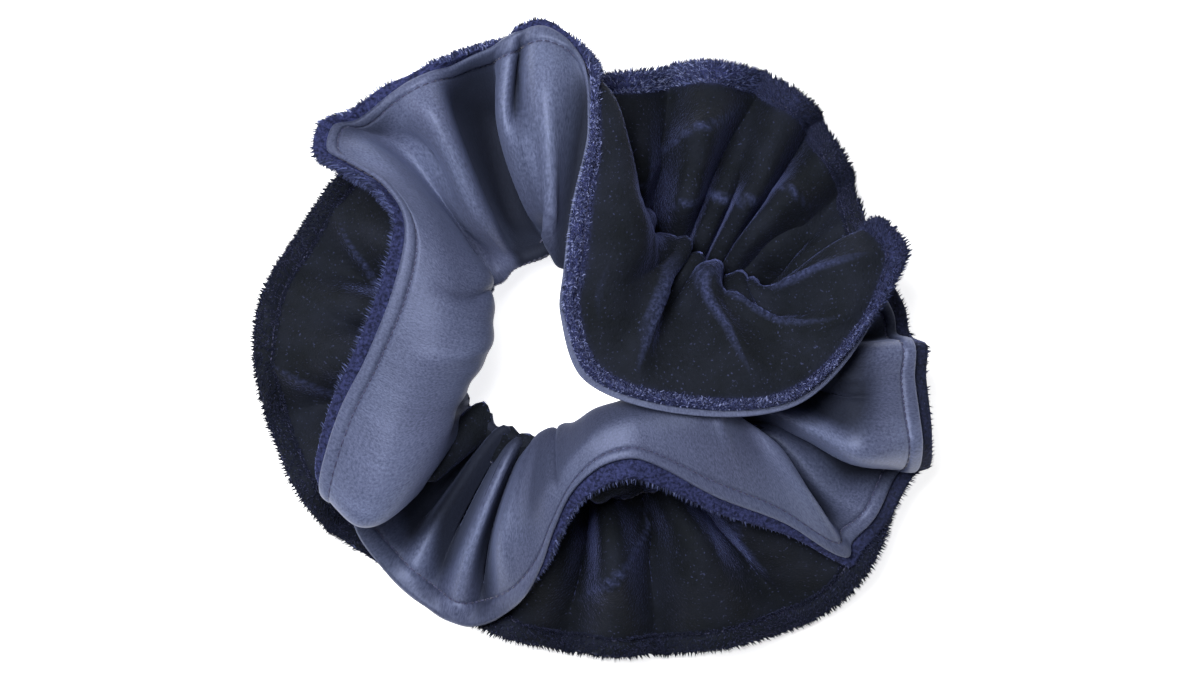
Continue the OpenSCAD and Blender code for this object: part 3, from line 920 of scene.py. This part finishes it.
def velvet_material():
    """Midnight velvet: nearly black face on, with a painted indigo sheen on its hem bands, painted
    highlights on crests and lit pile, painted glints, and indigo sheen where its pile is seen from
    the side.
    """
    made, nodes, links, shader = material("midnight_velvet", (0.010, 0.012, 0.026), 0.85)
    place = coordinates(nodes, "Object")
    nap = noise(nodes, links, place, 1500.0, 2, 0.6)
    patch = noise(nodes, links, place, 110.0, 4, 0.6)
    speck = noise(nodes, links, place, 1800.0, 1)
    body = ramp(nodes, links, patch, [
        (0.35, (0.0045, 0.0062, 0.0095)), (0.75, (0.010, 0.0125, 0.022))])
    # Painted glints: small lighter specks of pile
    lit = ramp(nodes, links, speck, [(0.66, (0, 0, 0)), (0.78, (0.026, 0.031, 0.072))])
    body = mix(nodes, links, 1.0, body, lit, "ADD")
    # Painted highlights: lighter indigo where the velvet's crests and lit pile are marked
    painted_pile_highlight = ramp(nodes, links, nap, [
        (0.35, (0.012, 0.016, 0.042)), (0.7, (0.050, 0.062, 0.150))])
    highlight_share = ramp(nodes, links, attribute(nodes, "painted_pile_highlight"), [
        (0.35, (0, 0, 0)), (0.90, (0.75, 0.75, 0.75))])
    body = mix(nodes, links, highlight_share, body, painted_pile_highlight)
    # Painted sheen on the hem bands: lighter indigo, with painted light and shade along the hem
    band = ramp(nodes, links, nap, [
        (0.35, (0.007, 0.009, 0.030)), (0.7, (0.038, 0.046, 0.140))])
    colour = mix(nodes, links, attribute(nodes, "hem"), body, band)
    links.new(colour, shader.inputs["Base Color"])
    set_sheen(shader, 0.12, 0.5, 0.22, (0.18, 0.22, 0.55))
    links.new(bump(nodes, links, nap, 0.6, 0.0005), shader.inputs["Normal"])
    return made


def pile_material():
    """The velvet's pile seen from the side: indigo, each tuft a tone of its own, darker or lighter
    with the painted light and shade along the hem.
    """
    made, nodes, links, shader = material("velvet_pile", (0.035, 0.040, 0.13), 0.8)
    # Tone: a random tone per tuft times painted light and shade along the hem
    colour = ramp(nodes, links, attribute(nodes, "tone"), [
        (0.0, (0.005, 0.007, 0.017)), (0.5, (0.024, 0.031, 0.080)),
        (0.8, (0.064, 0.080, 0.195)), (1.0, (0.20, 0.23, 0.42))])
    links.new(colour, shader.inputs["Base Color"])
    set_sheen(shader, 0.15, 0.25, 0.4, (0.35, 0.38, 0.85))
    return made


def thread_material(name, colour):
    """Spun thread: fine twist lines across each stitch."""
    made, nodes, links, shader = material(name, colour, 0.55)
    twist = noise(nodes, links, coordinates(nodes, "Object"), 5000.0, 2)
    dark = tuple(c * 0.6 for c in colour)
    light = tuple(min(c * 1.5, 1.0) for c in colour)
    tone = ramp(nodes, links, twist, [(0.35, dark), (0.65, light)])
    links.new(tone, shader.inputs["Base Color"])
    links.new(bump(nodes, links, twist, 0.4, 0.0001), shader.inputs["Normal"])
    shader.inputs["Sheen Weight"].default_value = 0.2
    return made


def elastic_material():
    """White knitted elastic, with courses across its ribs."""
    made, nodes, links, shader = material("white_elastic", (0.78, 0.78, 0.79), 0.7)
    knit = noise(nodes, links, coordinates(nodes, "Object"), 2200.0, 2)
    tone = ramp(nodes, links, knit, [(0.3, (0.62, 0.62, 0.64)), (0.7, (0.86, 0.86, 0.87))])
    links.new(tone, shader.inputs["Base Color"])
    links.new(bump(nodes, links, knit, 0.5, 0.0002), shader.inputs["Normal"])
    return made


# ==== pieces ====


def finish_piece(piece, slot, made, *nodes):
    """Gives a soft piece its material, bakes its transform into its points, and hides the CAD parts
    that it stands for. The slot is not used.
    """
    piece.data.materials.append(made)
    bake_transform(piece)
    if nodes:
        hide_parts(*nodes)
    return piece


def halves(*names):
    return [f"{name}_{side}" for name in names for side in ("left", "right")]


def build_cloth():
    even = np.ones(STATIONS)
    satin_faces = layer_faces(1, SATIN_INNER, SATIN_THICKNESS, SATIN_PUFF, SATIN_ROUNDING,
                              edge_overhang(SATIN_ROLL[0] + SATIN_ROLL[1] * ROLL,
                                            LOWER_SATIN_REACH * even))
    velvet_faces = layer_faces(-1, VELVET_INNER, VELVET_THICKNESS, VELVET_PUFF, VELVET_ROUNDING,
                               edge_overhang(REACH * (1 - ROLL), LOWER_VELVET_REACH * even))
    point_marks = cloth_marks()
    satin = cloth_piece("satin_strip", 1, satin_faces, point_marks)
    velvet = cloth_piece("velvet_strip", -1, velvet_faces, point_marks)
    finish_piece(satin, "satin", satin_material(), *halves("satin_strip"))
    finish_piece(velvet, "velvet", velvet_material(), *halves("velvet_strip"))
    pile = finish_piece(hem_pile(velvet_faces[1]), "velvet", pile_material())


def rows_on_both_sides(distances, stitch, satin_lift, velvet_lift):
    """Rows of stitches seen on the satin and on the velvet, at these distances across."""
    rows = []
    for v in distances:
        rows.append(row_of_stitches(v, 1, satin_lift, **stitch))
        rows.append(row_of_stitches(v, -1, velvet_lift, **stitch))
    return rows


def build_threads():
    satin_top = SATIN_INNER + SATIN_THICKNESS
    velvet_top = VELVET_INNER + VELVET_THICKNESS
    rows = rows_on_both_sides((HEM, STRIP_WIDTH - HEM), TOPSTITCH,
                              satin_top - GROOVE + TOPSTITCH_LIFT[0],
                              velvet_top - GROOVE + TOPSTITCH_LIFT[1])
    finish_piece(stitches("topstitching", rows), "thread",
                 thread_material("indigo_thread", (0.022, 0.024, 0.07)),
                 *halves("upper_topstitch", "lower_topstitch"))
    rows = rows_on_both_sides((WING + CASING_STITCH_IN, WING + CASING - CASING_STITCH_IN),
                              CASING_STITCH, satin_top + CASING_ROOM, velvet_top + CASING_ROOM)
    finish_piece(stitches("casing_stitching", rows), "thread",
                 thread_material("casing_thread", (0.018, 0.02, 0.055)),
                 *halves("upper_casing_stitch", "lower_casing_stitch"))
    rows = [row_of_stitches(v, 1, 0.0, **SEAM_STITCH) for v in (SEAM_IN, STRIP_WIDTH - SEAM_IN)]
    rows.append(end_seam(HEM + END_SEAM_GAP, WING - END_SEAM_GAP))
    rows.append(end_seam(WING + CASING + END_SEAM_GAP, STRIP_WIDTH - HEM - END_SEAM_GAP))
    finish_piece(stitches("seams", rows), "thread",
                 thread_material("seam_thread", (0.02, 0.02, 0.05)),
                 *halves("upper_edge_seam", "lower_edge_seam"),
                 "strip_end_seam", "elastic_join_stitches")


def build_elastic():
    finish_piece(elastic_ring(), "elastic", elastic_material(), *halves("elastic_band"))


# ==== floor, light and camera ====

FLOOR_HALF = 2
FLOOR_GLOW = 0.8
WORLD_LIGHT = 0.06
SENSOR_WIDTH = 36.0
CAMERA_HEIGHT = 1.6
CAMERA_X = 0.001
FRAME_WIDTH = 0.240
FRAME_LEVEL = 0.025

# Soft lights, all turned to the object: name, place, size and power
SOFTBOXES = (
    ("overhead", (-0.18, 0.18, 0.86), 0.36, 12.5),
    ("left", (-0.7, 0.25, 0.6), 0.4, 1.2),
    ("front", (0.35, -0.6, 0.7), 0.5, 0.7),
)


def build_stage():
    corners = [(x * FLOOR_HALF, y * FLOOR_HALF, 0) for x, y in ((-1, -1), (1, -1), (1, 1), (-1, 1))]
    mesh = bpy.data.meshes.new("floor")
    mesh.from_pydata(corners, [], [(0, 1, 2, 3)])
    floor = bpy.data.objects.new("floor", mesh)
    bpy.context.scene.collection.objects.link(floor)
    made, _, _, shader = material("white_floor", (0.92, 0.92, 0.92), 0.9)
    shader.inputs["Specular IOR Level"].default_value = 0.0
    shader.inputs["Emission Color"].default_value = (1, 1, 1, 1)
    shader.inputs["Emission Strength"].default_value = FLOOR_GLOW
    mesh.materials.append(made)


def softbox(name, place, size, power):
    light = bpy.data.lights.new(name, "AREA")
    light.size = size
    light.energy = power
    lamp = bpy.data.objects.new(name, light)
    lamp.location = place
    lamp.rotation_euler = (-Vector(place)).to_track_quat("-Z", "Y").to_euler()
    bpy.context.scene.collection.objects.link(lamp)


def build_light():
    world = bpy.data.worlds.new("studio")
    world.use_nodes = True
    background = world.node_tree.nodes["Background"]
    background.inputs["Color"].default_value = (1, 1, 1, 1)
    background.inputs["Strength"].default_value = WORLD_LIGHT
    bpy.context.scene.world = world
    for box in SOFTBOXES:
        softbox(*box)
    bpy.context.scene.view_settings.view_transform = "Standard"


def build_camera():
    data = bpy.data.cameras.new("camera")
    data.sensor_width = SENSOR_WIDTH
    data.lens = SENSOR_WIDTH * (CAMERA_HEIGHT - FRAME_LEVEL) / FRAME_WIDTH
    data.clip_start = 0.01
    camera = bpy.data.objects.new("camera", data)
    camera.location = (CAMERA_X, 0.0, CAMERA_HEIGHT)
    bpy.context.scene.collection.objects.link(camera)
    bpy.context.scene.camera = camera


build_camera()
build_cloth()
build_threads()
build_elastic()
build_stage()
build_light()
